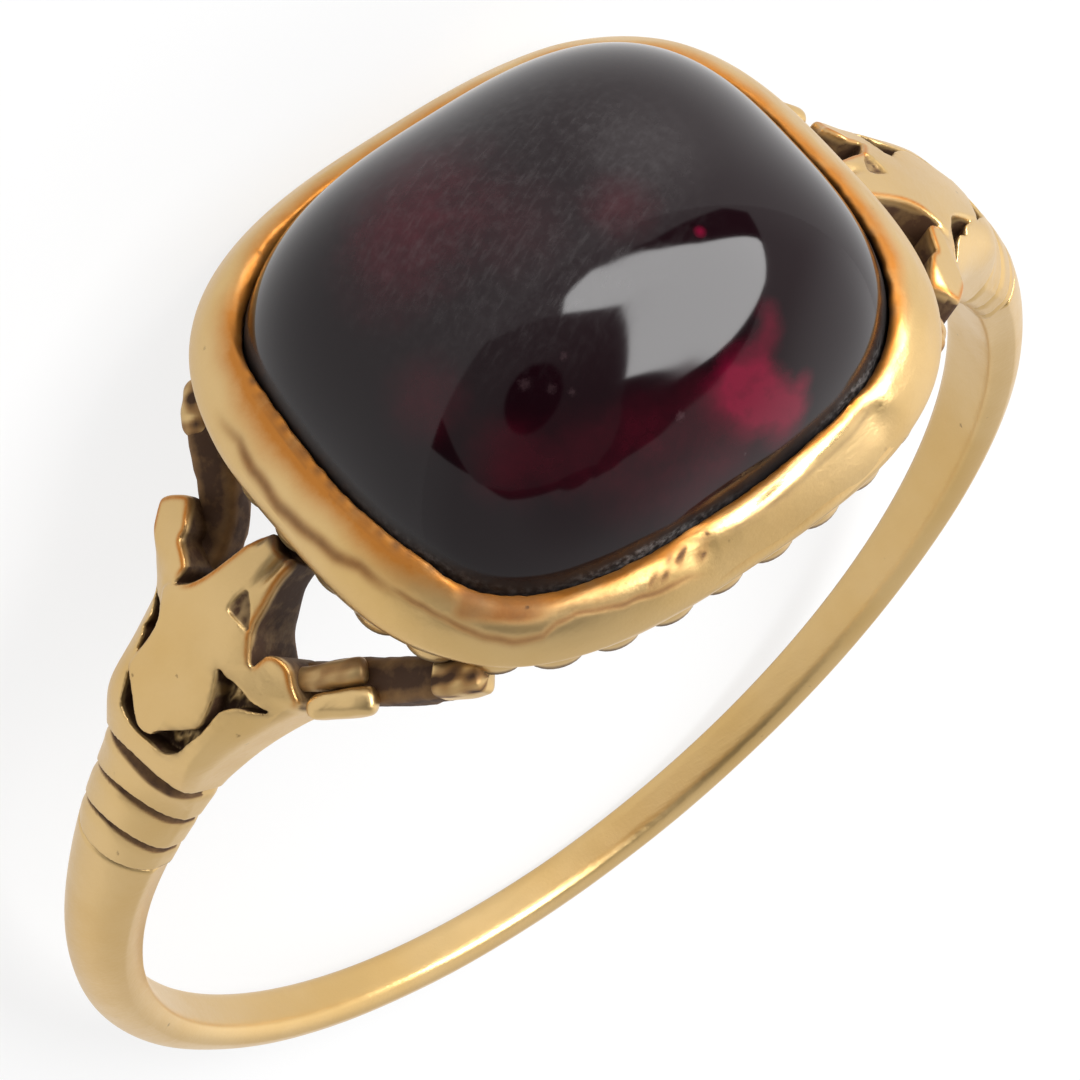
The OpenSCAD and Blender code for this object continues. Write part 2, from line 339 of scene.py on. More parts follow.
def carve(field, axes):
    """The closed surface where a field of samples passes 0: points, faces with four corners."""
    shape = np.array(field.shape)
    below = field < 0
    total, hits = np.zeros((*(shape - 1), 3), np.float32), np.zeros(shape - 1, np.int16)
    crossings = []
    for axis in range(3):
        first, second = (tuple(cut if a == axis else slice(None) for a in range(3))
                         for cut in (slice(0, -1), slice(1, None)))
        start, end = field[first], field[second]
        where = np.argwhere(below[first] != below[second])
        i, j, k = where.T
        t = start[i, j, k] / (start[i, j, k] - end[i, j, k])
        point = where.astype(np.float32)
        point[:, axis] += t
        cells = []
        for back_one, back_two in ((0, 0), (1, 0), (1, 1), (0, 1)):
            cell = where.copy()
            cell[:, (axis + 1) % 3] -= back_one
            cell[:, (axis + 2) % 3] -= back_two
            cells.append(tuple(cell.T))
            np.add.at(total, cells[-1], point)
            np.add.at(hits, cells[-1], 1)
        crossings.append((cells, below[first][i, j, k]))
    number = np.full(hits.shape, -1)
    used = hits > 0
    number[used] = np.arange(used.sum())
    grid = total[used] / hits[used][:, None]
    faces = []
    for cells, solid_first in crossings:
        quad = np.stack([number[cell] for cell in cells], 1)
        quad[~solid_first] = quad[~solid_first][:, ::-1]
        faces.append(quad)
    points = np.stack([np.interp(grid[:, a], np.arange(shape[a]), axes[a]) for a in range(3)], 1)
    return points, np.concatenate(faces).tolist(), grid


def read_field(field, grid):
    """A field's value between its samples."""
    low = np.clip(np.floor(grid).astype(int), 0, np.array(field.shape) - 2)
    t = np.clip(grid - low, 0, 1)
    value = 0
    for corner in np.ndindex(2, 2, 2):
        share = np.prod(np.where(np.array(corner) == 1, t, 1 - t), axis=1)
        value = value + share * field[tuple((low + corner).T)]
    return value


# All outlines are angle above the middle of the hole, and place along the finger
CALYX = soften([
    (20, -0.82), (24, -0.86), (28, -0.92), (33, -0.97), (36, -1.02), (38, -1.09), (41, -1.2),
    (43.6, -1.32), (46.2, -1.46), (48.5, -1.6), (50.2, -1.74), (51.3, -1.74), (51.8, -1.56),
    (52.4, -1.45), (53, -1.36), (53.2, -1.22), (53, -1.08), (52.5, -0.98), (52, -0.94), (51.3, -0.92),
    (50.6, -0.9), (51.3, -0.79), (52.1, -0.69), (52.9, -0.59), (53.8, -0.54), (55, -0.51),
    (56.3, -0.46), (57.5, -0.42), (58.7, -0.42), (59.7, -0.44), (59.9, -0.36), (59.5, -0.28),
    (59.3, -0.17), (59.3, -0.04), (59.9, 0.06), (60, 0.16), (59.4, 0.3), (58.7, 0.37), (57.5, 0.39),
    (56.4, 0.43), (54.8, 0.49), (53.1, 0.57), (51.6, 0.69), (50.6, 0.84), (49.9, 0.96), (50.9, 0.95),
    (51.8, 0.95), (52.2, 1.06), (52.6, 1.24), (52.8, 1.4), (53.8, 1.42), (54.7, 1.59), (55.4, 1.8),
    (55.4, 1.92), (54.8, 2.04), (53.9, 2.18), (53.2, 2.24), (52.6, 2.19), (51.4, 2.04), (49.3, 1.8),
    (46.8, 1.54), (44.1, 1.38), (41.5, 1.25), (38, 1.14), (33, 1), (24, 0.86), (20, 0.82)])
SHIELD_RECESS = soften([
    (41.7, 0.76), (40.4, 0.65), (38.8, 0.57), (38, 0.49), (37.7, 0.18), (37.8, -0.07), (38.1, -0.25),
    (38.2, -0.49), (38.8, -0.64), (39.8, -0.75), (41.2, -0.8), (42.4, -0.86), (43.3, -0.89),
    (45.2, -0.9), (46, -0.95), (47, -1.08), (47.6, -1.29), (48.7, -1.5), (48.4, -1.3), (48.3, -1.14),
    (48.5, -0.98), (48.5, -0.81), (48.3, -0.67), (48.5, -0.5), (47.9, -0.56), (47.1, -0.63),
    (46.1, -0.72), (44.5, -0.79), (43, -0.82), (41.9, -0.66), (40.9, -0.48), (39.5, -0.25),
    (39, -0.25), (38.4, -0.08), (38.4, 0.08), (39, 0.18), (40.4, 0.45)], 1)
CLAW_RECESS = soften([
    (47.4, 1.38), (47.5, 1.19), (47.7, 1.04), (47.6, 0.92), (47.3, 0.82), (46.4, 0.75), (45, 0.73),
    (43.2, 0.76), (43.1, 0.8), (44.5, 0.86), (44.8, 1.02), (45.7, 0.98), (46.5, 1.08), (46.7, 1.27)], 1)
LEAF_NICK = soften([
    (55.3, -0.09), (54.7, -0.26), (53.9, -0.42), (52.6, -0.57), (52.7, -0.39), (52.6, -0.17),
    (52.7, -0.05), (53.9, -0.05)], 1)
SHIELD = soften([
    (38.4, 0.1), (38.4, -0.1), (39, -0.28), (39.5, -0.28), (43, -0.85), (46.1, -0.74), (48.5, -0.52),
    (49.5, -0.7), (51, -1), (53.5, -0.6), (62, -0.5), (62, 0.5), (57, 0.7), (53, 0.7), (50.5, 0.9),
    (49, 1.15), (47.6, 0.9), (46, 0.72), (43, 0.74), (41.6, 0.76), (40.2, 0.45)])
# Collar grooves: highest angle, fall to both sides of it, its place, depth, dark width
COLLARS = [
    (26.8, 2.3, -0.25, 0.075, 0.1), (31.3, 2.3, -0.3, 0.09, 0.12), (35.5, 1.25, -0.4, 0.13, 0.24)]
STEEP, SLOPE = 0.05, 0.34  # run of a groove's steep wall and of the long slope below it
# Place along, and share of a groove's dark width there
DARK_WIDTH = [(-1.4, 0.3), (-1, 0.5), (-0.8, 1), (-0.5, 1), (-0.1, 0.7), (0.3, 0.5), (0.7, 0.25)]
# Angle and height of the middle of the shoulder's outside
CROWN = [
    (20, 1.1), (24, 1.14), (33, 1.28), (38, 1.44), (43, 1.52), (49.5, 1.6), (54, 1.68), (57.5, 1.72),
    (60, 1.74), (62, 1.7)]
# Angle and height of the underside, under the leaf and under the claws beside it
UNDER_LEAF = [(50.5, 0), (54, 0.35), (57.5, 0.7), (60, 0.9)]
UNDER_CLAWS = [(51.5, 0), (54, 0.3), (56, 0.75)]


def from_collar(angle, along, collar):
    """Distance from a collar groove's steep wall, above 0 on the stone's side."""
    highest, fall, place = collar[:3]
    return (angle - highest + fall * (np.clip(along, -1.1, 1.1) - place) ** 2) * EVEN


def collar_cut(angle, along):
    """How deep the three collar grooves cut: steep towards the stone, with a long slope below."""
    depth = 0
    for collar in COLLARS:
        run = from_collar(angle, along, collar)
        depth = depth + collar[3] * np.where(run > 0, 1 - rise(run, 0, STEEP), rise(run, -SLOPE, 0) ** 2)
    return depth


def collar_dirt(angle, along):
    """Share of brown that has gathered in the three grooves, widest past the middle of each."""
    dirt = 0
    for collar in COLLARS:
        run = from_collar(angle, along, collar)
        width = 0.02 + collar[4] * np.interp(along, *np.transpose(DARK_WIDTH))
        dirt = dirt + rise(run, -width - 0.03, -width * 0.8) * (1 - rise(run, 0, 0.04))
    return np.clip(dirt, 0, 1)


def shoulder_top(angle, along):
    """Height of the outside of the shoulder above the wall of the finger hole."""
    flat_top = curve_through(CROWN, 1, angle) - 0.1 * along**2 - 0.05 * rise(np.abs(along), 0.9, 1.6)
    flat_top = flat_top - 0.35 * rise(along, 0.75, 1.5) * (1 - rise(angle, 46, 51))
    top = band_top(np.minimum(angle, 60), along)
    top = top + (flat_top - top) * rise(angle, 31, 40) - collar_cut(angle, along)
    # The shield stands proud, and a crease with a ridge beside it runs up the leaf
    top = top + 0.03 * (1 - rise(inside_of(SHIELD, angle, along), -0.03, 0.02)) * rise(angle, 37, 39)
    crease = 0.13 * np.exp(-((along + 0.18) / 0.08) ** 2) - 0.05 * np.exp(-((along + 0.34) / 0.06) ** 2)
    top = top - crease * rise(angle, 55, 58.5)
    # The leaf's far corner and the far claw's tip are worn down, and the near claw's tip is swollen
    top = top - 0.22 * rise(angle, 57.2, 59.2) * rise(along, 0.14, 0.34)
    top = top + 0.04 * np.exp(-(((angle - 52.7) / 0.7) ** 2 + ((along + 1.2) / 0.3) ** 2))
    return top - 0.16 * rise(angle, 54, 56) * rise(along, 1.2, 1.5)


def shoulder_field(angle, along, height):
    """Below 0 inside the shoulder. The first two vary over the surface, the last goes outwards."""
    top = shoulder_top(angle, along) + 0.006 * ripple(angle * EVEN, along, seed=9, size=1.6)
    outer = inside_of(CALYX, angle, along) + 0.5 * collar_cut(angle, along)
    inner = np.where(np.abs(along) < 0.85, np.interp(angle, *np.transpose(UNDER_LEAF)),
                     np.interp(angle, *np.transpose(UNDER_CLAWS)))
    edge = 0.07 + 0.3 * rise(np.abs(along), 0.9, 1.15) * (1 - rise(angle, 49.5, 51.5))
    solid = cut_by(height - top, outer, edge)
    solid = cut_by(solid, inner - height, 0.3)
    floor = 0.02 * ripple(angle * EVEN, along, seed=2, size=0.25)
    for outline, depth in ((SHIELD_RECESS, 0.42), (CLAW_RECESS, 0.42), (LEAF_NICK, 0.07)):
        hole = cut_by(inside_of(outline, angle, along), top - depth + floor - height, 0.05)
        solid = cut_by(solid, -hole, 0.025)
    return solid


# Angles, places along and heights of the samples, a little past the shoulder on every side
axes = [np.arange(SEAM - 0.3, 61, GRAIN / EVEN), np.arange(-2.05, 2.4, GRAIN),
        np.arange(-0.1, 2, GRAIN)]
flat_angle, flat_along = np.meshgrid(axes[0], axes[1], indexing="ij")
field = shoulder_field(flat_angle[..., None], flat_along[..., None], axes[2][None, None, :])
field = np.maximum(field, (SEAM - flat_angle)[..., None] * EVEN)
field = np.pad(field[1:-1, 1:-1, 1:-1], 1, constant_values=GRAIN)
points, faces, grid = carve(field, axes)
slope = np.stack(np.gradient(field, GRAIN), -1)
normal = np.stack([read_field(slope[..., a], grid) for a in range(3)], -1)
normal /= np.linalg.norm(normal, axis=1, keepdims=True) + 1e-9
hidden = sum(share * np.clip(1 - read_field(field, grid + normal * reach / GRAIN) / reach, 0, 1)
             for reach, share in ((0.12, 0.3), (0.3, 0.4), (0.6, 0.3)))
angle, along, height = points.T
below_top = shoulder_top(angle, along) - height
# Painted shade, with real patina in the recesses: recesses darken by how hidden they are, and the walls
# under the leaf and the parts under the rim are darkened too
recess_patina_and_shade = rise(hidden, 0.3, 0.8) * rise(below_top, 0.02, 0.12)
window_wall = rise(angle, 50.2, 52) * rise(below_top, 0.05, 0.2)
in_collar = collar_dirt(angle, along) * (below_top < 0.3)
in_nick = 1 - rise(inside_of(LEAF_NICK, angle, along), -0.03, 0.01)
in_crease = rise(angle, 55.5, 57.5) * np.exp(-((along + 0.18) / 0.05) ** 2)
under_rim = 0.12 * rise(angle, 51, 58) + 0.75 * rise(angle, 58.6, 59.5)
from_pit = np.clip(inside_of(SHIELD_RECESS, angle, along), 0, 1) + 0.3 * (along > -0.3)
blotchy = 0.6 + 0.5 * ripple(*(points * (EVEN, 1, 1)).T, seed=14, size=0.3)
beside_pit = np.exp(-from_pit / 0.05) * (below_top < 0.1) * blotchy
on_finger = rise(-normal[:, 2], 0.2, 0.7) * (1 - rise(angle, 48.5, 53.5))
patina = (1.25 * recess_patina_and_shade + 0.9 * window_wall + 0.9 * in_collar + 0.6 * in_nick + under_rim
          + 0.5 * in_crease + 0.5 * beside_pit)
patina = np.clip(patina, 0, 1) * (1 - 0.9 * on_finger)
worn_edge = np.exp(-((inside_of(CALYX, angle, along) + 0.05) / 0.035) ** 2) * rise(angle, 50, 51.5)
stain = worn_edge + 0.5 * in_collar * (1 - on_finger)
SIDES = ("left", 1), ("right", -1)
for side, turned in SIDES:
    placed = on_shoulder(*points.T) * (turned, turned, 1)
    shoulder = make_piece("shoulder_" + side, placed, {"patina": patina, "stain": stain}, gold, faces)
    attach(shoulder, "root"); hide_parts("gold_mount")

# Claw bars
# Two gold bars to a shoulder are bent outwards from the fork and up to the rim that they carry.
# They are black but for their tips, whose side towards the collet is painted shade, and the
# front one starts under two small scrolls.


def along_rows(table, count):
    """Rows of a table drawn out to a smooth line of that many rows."""
    table = np.column_stack([np.arange(len(table)), table])
    return np.stack([curve_through(table, c, np.linspace(0, len(table) - 1, count))
                     for c in range(1, table.shape[1])], 1)


def run_along(points):
    """Length of a line of points up to each of them."""
    return np.concatenate([[0], np.cumsum(np.linalg.norm(np.diff(points, axis=0), axis=1))])


def sweep(rows, corner, blunt, around=36):
    """Rings round a path of angle, along, height, half width, half thickness, with rounded ends."""
    path, (wide, thick) = on_shoulder(*rows.T[:3]), rows.T[3:5]
    run = run_along(path)
    to_end = np.clip(np.minimum(run, run[-1] - run) / blunt, 0.0004, 1)
    shrink = (1 - (1 - to_end) ** 2.6) ** (1 / 2.6)
    ahead = unit(np.gradient(path, axis=0))
    away = path * (1, 0, 1)
    away = unit(away - ahead * np.sum(ahead * away, 1, keepdims=True))
    across = np.cross(ahead, away)
    turn = np.linspace(0, 2 * math.pi, around, endpoint=False)
    reach = (np.abs(np.cos(turn)) ** corner + np.abs(np.sin(turn)) ** corner) ** (-1 / corner)
    sides = (reach * np.cos(turn))[:, None, None] * across * (wide * shrink)[:, None]
    faces = (reach * np.sin(turn))[:, None, None] * away * (thick * shrink)[:, None]
    return np.moveaxis(path + sides + faces, 1, 0), np.tile(reach / reach.max(), (len(path), 1))


def evenly(run, count):
    """Places from 0 to run, closer together towards both ends."""
    t = np.linspace(-1, 1, count)
    return run * (1 + np.sign(t) * (1 - (1 - np.abs(t)) ** 3)) / 2


# Piece, how square its section is, length of its rounded ends, and its rows of angle, along, height,
# half width, half thickness and darkness
CLAWS = [
    ("claw_bar_long", 3.6, 0.12, [
        (50.5, -1.28, 0.6, 0.32, 0.3, 1), (53, -1.58, 0.52, 0.34, 0.33, 1),
        (55.8, -1.98, 0.56, 0.35, 0.34, 1), (58.3, -2.4, 0.66, 0.35, 0.34, 1),
        (60.8, -2.8, 0.84, 0.33, 0.32, 1), (62.6, -3.04, 0.92, 0.31, 0.28, 1),
        (63.4, -3.16, 0.94, 0.28, 0.24, 1)]),
    ("claw_tip_long", 4, 0.1, [
        (61.6, -2.96, 0.98, 0.27, 0.3, 0), (62.8, -3.16, 1.02, 0.27, 0.31, 0),
        (64, -3.34, 1.06, 0.25, 0.29, 0), (65.2, -3.52, 1.12, 0.21, 0.25, 0.1)]),
    ("claw_bar_short", 3.6, 0.12, [
        (50.5, 1.24, 0.6, 0.3, 0.3, 1), (53, 1.34, 0.5, 0.34, 0.33, 1),
        (55.8, 1.58, 0.54, 0.35, 0.33, 1), (58, 1.86, 0.72, 0.35, 0.33, 1),
        (60, 2.3, 0.95, 0.34, 0.31, 1), (61.6, 2.62, 1.05, 0.32, 0.29, 1),
        (63, 2.88, 1.1, 0.28, 0.25, 1)]),
    ("claw_tip_short", 2.6, 0.2, [
        (59.6, 2.42, 1.1, 0.24, 0.2, 0.2), (60.6, 2.62, 1.16, 0.26, 0.22, 0),
        (62, 2.86, 1.2, 0.25, 0.22, 0), (63.2, 3.02, 1.2, 0.2, 0.2, 0.1)]),
    # The strut under the leaf is black as painted shade
    ("leaf_strut", 3.2, 0.1, [
        (54, -0.02, 0.95, 0.4, 0.3, 1), (57, -0.02, 1.1, 0.36, 0.26, 1),
        (59.5, -0.04, 1.14, 0.38, 0.24, 1), (61.5, -0.06, 1.08, 0.46, 0.26, 1),
        (63.2, -0.08, 0.96, 0.58, 0.3, 1)]),
    ("upper_scroll", 2.3, 0.1, [
        (51.8, -1.3, 0.98, 0.17, 0.2, 0.5), (53.3, -1.56, 1, 0.19, 0.22, 0.35),
        (55, -1.76, 1, 0.2, 0.23, 0.25), (56.4, -1.93, 0.98, 0.21, 0.23, 0.15),
        (57.4, -2.04, 0.94, 0.19, 0.2, 0.1)]),
    ("lower_scroll", 3, 0.16, [
        (51.3, -1.84, 1.06, 0.14, 0.18, 0), (52.2, -1.96, 1.08, 0.19, 0.2, 0),
        (53.6, -2.14, 1.06, 0.21, 0.2, 0), (55.2, -2.34, 1.02, 0.22, 0.2, 0),
        (56.4, -2.5, 0.96, 0.2, 0.18, 0)])]
FINE, CLAW_SECTIONS = 200, 56
for name, corner, blunt, table in CLAWS:
    table = along_rows(table, FINE)
    where = evenly(FINE - 1, CLAW_SECTIONS)
    rows = np.stack([np.interp(where, np.arange(FINE), column) for column in table.T], 1)
    rings, on_corner = sweep(rows, corner, blunt)
    worn = rise(on_corner, 0.9, 1)
    darkness = rows[:, 5:] * (1 - 0.25 * worn) + 0 * on_corner
    if "tip" in name or "upper" in name:  # painted shade on the side towards the collet
        to_collet = np.sin(np.linspace(0, 2 * math.pi, on_corner.shape[1], endpoint=False))
        blotchy = 0.75 + 0.5 * ripple(*np.moveaxis(rings, -1, 0), seed=8, size=0.4)
        darkness = np.maximum(darkness, 1.05 * rise(to_collet, 0, 0.35) * (1 - 0.6 * worn) * blotchy)
    lump = 0.012 * ripple(*np.moveaxis(rings, -1, 0), seed=len(name), size=0.5)
    middle = rings.mean(1, keepdims=True)
    rings = middle + (rings - middle) * (1 + lump[..., None] / 0.3)
    for side, turned in SIDES:
        claw = make_piece(f"{name}_{side}", rings * (turned, turned, 1),
                          {"patina": darkness, "stain": 0.5 * rise(darkness, 0.1, 0.6)}, gold)
        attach(claw, "root"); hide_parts("gold_mount")

# Collet
# The closed cup that the stone stands in, beaten from sheet gold to the stone's cushion outline.
# Round gadroons are chased side by side all round its foot, and its back is plain.
STONE_LEN, STONE_WIDE, CUSHION = 9, 7.7, 2.95
GIRDLE, BACK = 9.61, 8.66  # heights of the stone's widest line and of the cup's back
DOME = 3.45  # height of the stone above its widest line


def cushion(turn, out=0):
    """The stone's outline, so far outside its edge, at a polar angle."""
    a, b = STONE_LEN / 2 + out, STONE_WIDE / 2 + out
    c, s = np.cos(turn), np.sin(turn)
    reach = ((np.abs(c) / a) ** CUSHION + (np.abs(s) / b) ** CUSHION) ** (-1 / CUSHION)
    return np.stack([reach * c, reach * s], -1)


def drawn_in(up):
    """Share of the outline that the stone's dome has left at a share of its height."""
    return (1 - up ** 1.85) ** (1 / 2.4)


def even_turns(count):
    """Polar angles that divide the outline, just outside the stone, into equal lengths."""
    fine = np.linspace(0, 2 * math.pi, 2001)
    run = run_along(cushion(fine, 0.4))
    return np.interp(np.arange(count) * run[-1] / count, run, fine)


def level(turns, out, height, share=1):
    """A ring round the outline at one height, drawn in towards the middle by share."""
    return np.column_stack([share * cushion(turns, out), height + 0 * turns])


turns = even_turns(240)  # for the cup, and for the stone in it
# Out, height and share of the way from the middle, up the outside and down the inside
CUP = [(-0.3, BACK, 0.01), (-0.3, BACK, 0.5), (-0.3, BACK, 0.98), (0.18, BACK, 1),
       (0.3, BACK + 0.03, 1), (0.36, BACK + 0.12, 1), (0.37, BACK + 0.4, 1), (0.4, BACK + 0.7, 1),
       (0.32, 9.62, 1), (0.14, 9.7, 1), (0.05, 9.66, 1), (0.05, GIRDLE - 0.58, 1),
       (-0.3, GIRDLE - 0.57, 0.98), (-0.3, GIRDLE - 0.57, 0.01)]
rings = np.array([level(turns, *row) for row in CUP])
on_back = rings[..., 2] <= BACK + 0.05
# The cup's sides, under the rim and shoulders, are painted dark as shade, with a little copper stain,
# and the back is left nearly clean
cup = make_piece("collet_cup", rings, {
    "patina": np.where(on_back, 0.1, 0.55), "stain": np.where(on_back, 0.08, 0.3)}, gold)
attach(cup, "root"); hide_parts("gold_mount")


class Nodes(Socket):
    """A Geometry Nodes tree with named inputs, that starts from a closed line of edges."""

    def __init__(self, name, inputs):
        super().__init__(bpy.data.node_groups.new(name, "GeometryNodeTree"))
        self.tree.interface.new_socket("Geometry", in_out="INPUT", socket_type="NodeSocketGeometry")
        self.names = {}
        for label, value in inputs.items():
            kind = {int: "Int", float: "Float"}.get(type(value), "Material")
            made = self.tree.interface.new_socket(label, in_out="INPUT", socket_type="NodeSocket" + kind)
            self.names[made.identifier] = value
        self.tree.interface.new_socket("Geometry", in_out="OUTPUT", socket_type="NodeSocketGeometry")
        self.start = self.add("NodeGroupInput")
        self.line = self.add("GeometryNodeMeshToCurve", {}, {"Mesh": self.start})

    def __getitem__(self, label):
        return self.start.other(label)

    def finish(self, shape, material):
        """Realize the copies, give them their material and end the tree."""
        shape = self.add("GeometryNodeRealizeInstances", {}, {"Geometry": shape})
        shape = self.add("GeometryNodeSetMaterial", {}, {"Geometry": shape, "Material": material})
        self.tree.links.new(shape.socket, self.tree.nodes.new("NodeGroupOutput").inputs[0])

    def grow(self, name, points, marks):
        """Makes a piece along a closed line of points, laid on the table."""
        line = bpy.data.meshes.new(name)
        count = len(points)
        line.from_pydata((points * MM).tolist(), [(i, (i + 1) % count) for i in range(count)], [])
        guide = bpy.data.objects.new(name + "_line", line)
        bpy.context.scene.collection.objects.link(guide)
        modifier = guide.modifiers.new("nodes", "NODES")
        modifier.node_group = self.tree
        for identifier, value in self.names.items():
            modifier[identifier] = value
        ready = guide.evaluated_get(bpy.context.evaluated_depsgraph_get())
        grown = bpy.data.meshes.new_from_object(ready)
        guide.modifiers.clear()
        bpy.data.objects.remove(guide)
        places = np.empty(3 * len(grown.vertices), np.float32)
        grown.vertices.foreach_get("co", places)
        own = places.reshape(-1, 3) / MM
        grown.vertices.foreach_set("co", on_the_table(own).astype(np.float32).ravel())
        grown.update()
        piece = show(name, grown, {mark: values(*own.T) for mark, values in marks.items()})
        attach(piece, "root"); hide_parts("gold_mount")


LOBES = 34
LOBES_OUT, LOBES_UP = 0.36, 0.34  # where their middles are, out from the stone and up from the back
nodes = Nodes("gadroons", {"Count": LOBES, "Half Width": 0.44 * MM, "Half Height": 0.36 * MM,
                           "Depth": 0.3 * MM, "Gold": gold})
spots = nodes.add("GeometryNodeCurveToPoints", {"mode": "COUNT"},
                  {"Curve": nodes.line, "Count": nodes["Count"]})
ball = nodes.add("GeometryNodeMeshUVSphere", {}, {"Segments": 28, "Rings": 16, "Radius": 1})
facing = nodes.add("FunctionNodeAxesToRotation", {"primary_axis": "X", "secondary_axis": "Z"},
                   {"Primary Axis": spots.other("Tangent"), "Secondary Axis": (0, 0, 1)})
size = nodes.add("ShaderNodeCombineXYZ", {}, {
    "X": nodes["Half Width"], "Y": nodes["Depth"], "Z": nodes["Half Height"]})
uneven = nodes.add("FunctionNodeRandomValue", {"data_type": "FLOAT_VECTOR"},
                   {0: (0.95, 0.92, 0.94), 1: (1.04, 1.03, 1.03), "Seed": 5})
size = nodes.add("ShaderNodeVectorMath", {"operation": "MULTIPLY"}, {0: size, 1: uneven})
lobes = nodes.add("GeometryNodeInstanceOnPoints", {}, {
    "Points": spots, "Instance": ball, "Rotation": facing, "Scale": size})
nodes.finish(lobes, nodes["Gold"])


def outside_by(x, y):
    """How far a point lies outside the stone's edge."""
    turn = np.arctan2(y, x)
    return np.hypot(x, y) - np.linalg.norm(cushion(turn), axis=-1)


# The gadroons are painted dark as shade on their undersides and wherever they tuck in under the wire,
# all but the outer bulge of each, with copper stain near the cup
nodes.grow("gadroons", level(even_turns(LOBES * 15), LOBES_OUT, BACK + LOBES_UP), {
    "patina": lambda x, y, z: 0.9 * np.maximum(1 - rise(outside_by(x, y), 0.46, 0.58),
                                               1 - rise(z, BACK + 0.24, BACK + 0.34)),
    "stain": lambda x, y, z: 0.4 * (1 - rise(outside_by(x, y), 0.3, 0.6))})

# Rim
# A round gold wire is soldered round the top of the collet, and above it the collet's own edge is
# rolled over and burnished down on the stone. Hand pressure left it uneven, and old polish and
# copper stain stay where it meets the stone.
nodes = Nodes("rim_wire", {"Radius": 0.31 * MM, "Gold": gold})
section = nodes.add("GeometryNodeCurvePrimitiveCircle", {"mode": "RADIUS"},
                    {"Resolution": 24, "Radius": nodes["Radius"]})
wire = nodes.add("GeometryNodeCurveToMesh", {}, {"Curve": nodes.line, "Profile Curve": section})
nodes.finish(wire, nodes["Gold"])
WIRE_OUT, WIRE_HEIGHT = 0.41, 9.34
rim_turns = even_turns(420)
wander = 0.012 * ripple(*cushion(rim_turns, 0.4).T, seed=12, size=2.2)
# The wire is darker on its top, where it runs under the lip, and a little copper-stained there
nodes.grow("rim_wire", level(rim_turns, WIRE_OUT, WIRE_HEIGHT + wander), {
    "patina": lambda x, y, z: 0.9 * rise(z, 9.55, 9.64),
    "stain": lambda x, y, z: 0.25 * rise(z, 9.4, 9.6)})

# Out and height round the lip's own section, from inside at the foot, over the crest, to the wire
LIP_FOOT = (0.727, 9.32), (0.68, 9.26), (0.24, 9.44)
LOW_LIP = [
    (0.1, 9.52), (0.04, 9.66), (0.01, 9.8), (-0.005, 9.92), (0.02, 10.01), (0.09, 10.06),
    (0.18, 10.085), (0.28, 10.07), (0.39, 10.01), (0.49, 9.91), (0.58, 9.78), (0.65, 9.64),
    (0.7, 9.51), (0.722, 9.4), *LIP_FOOT]
HIGH_LIP = [
    (0.1, 9.52), (0.03, 9.75), (-0.03, 10.1), (-0.08, 10.28), (-0.075, 10.36), (-0.02, 10.37),
    (0.07, 10.33), (0.18, 10.24), (0.3, 10.12), (0.43, 9.98), (0.54, 9.83), (0.63, 9.68), (0.7, 9.52),
    (0.722, 9.41), *LIP_FOOT]
# The same where the lip is burnished, with a flat top, a bright corner and a steep side
BURNISHED = [
    (0.1, 9.52), (0.03, 9.75), (-0.02, 10.03), (-0.01, 10.15), (0.03, 10.195), (0.1, 10.2),
    (0.16, 10.195), (0.21, 10.18), (0.26, 10.145), (0.31, 10.085), (0.4, 9.95), (0.5, 9.8),
    (0.59, 9.66), (0.66, 9.53), (0.7, 9.42), *LIP_FOOT]
BURNISHED_RISE, CORNER = 0.4, 0.25  # how far that lip is pushed up, and where its corner is
# Polar angle, and how far the lip has been pushed up the stone there, as a share of PUSH
LIP_RISE = [
    (-200, 1), (-177, 0.97), (-159, 1), (-152, 0.85), (-145, 0.42), (-140, 0.1), (-125, 0),
    (-110, 0.08), (-98, 0), (-87, -0.02), (-78, 0.12), (-67, 0.36), (-58, 0.4), (-45, 0.45),
    (-31, 0.75), (-10, 0.6), (60, 0.4), (120, 0.3), (146, 0.1), (152, 0.5), (160, 0.9), (183, 0.97)]
PUSH = 0.36


def rounded(corners, count):
    """A smooth closed line of evenly spaced points through corners."""
    fine = soften(corners, 4)
    fine = np.vstack([fine, fine[:1]])
    run = run_along(fine)
    at = np.linspace(0, run[-1], count, endpoint=False)
    return np.stack([np.interp(at, run, fine[:, c]) for c in (0, 1)], 1)


def wrapped(degrees):
    return (degrees + 180) % 360 - 180


def near(degrees, middle, half):
    """1 at a polar angle, falling to 0 a few half widths away, all round the circle."""
    return np.exp(-(wrapped(degrees - middle) / half) ** 2)


def near_line(degrees, out, corners, half):
    """1 on a line over the lip, given by polar angle and out, falling to 0 beside it."""
    to_mm = math.radians(1) * STONE_LEN / 2
    apart = 9
    for (a, p), (b, q) in zip(corners, corners[1:]):
        end = ((b - a) * to_mm, q - p)
        apart = np.minimum(apart, to_side(wrapped(degrees - a) * to_mm, out - p, (0, 0), end))
    return np.exp(-(apart / half) ** 2)


# Marks of wear over the lip, as polar angle and out
GROOVE = [
    (158, 0.57), (165.5, 0.5), (171, 0.57), (178.5, 0.6), (185, 0.54), (192.3, 0.49), (197.2, 0.42),
    (202, 0.43), (208, 0.42)]
FOLD = [
    (199, 0.38), (203.5, 0.4), (210, 0.4), (214.3, 0.45), (220, 0.54), (224.3, 0.57), (228.8, 0.56),
    (231, 0.46), (234, 0.41), (239.8, 0.46), (244, 0.48), (249.8, 0.54), (255.2, 0.53), (260, 0.6)]
LONG_SCAR = [(248.2, 0.44), (250.2, 0.38), (253.6, 0.29), (256.2, 0.25)]
SHORT_SCAR = [(258, 0.41), (259.6, 0.36), (261.5, 0.26)]
BRIGHT_CORNER = [
    (257, 0.06), (263, 0.22), (268, 0.27), (274, 0.28), (281, 0.25), (288, 0.21), (298, 0.18),
    (304, 0.13)]

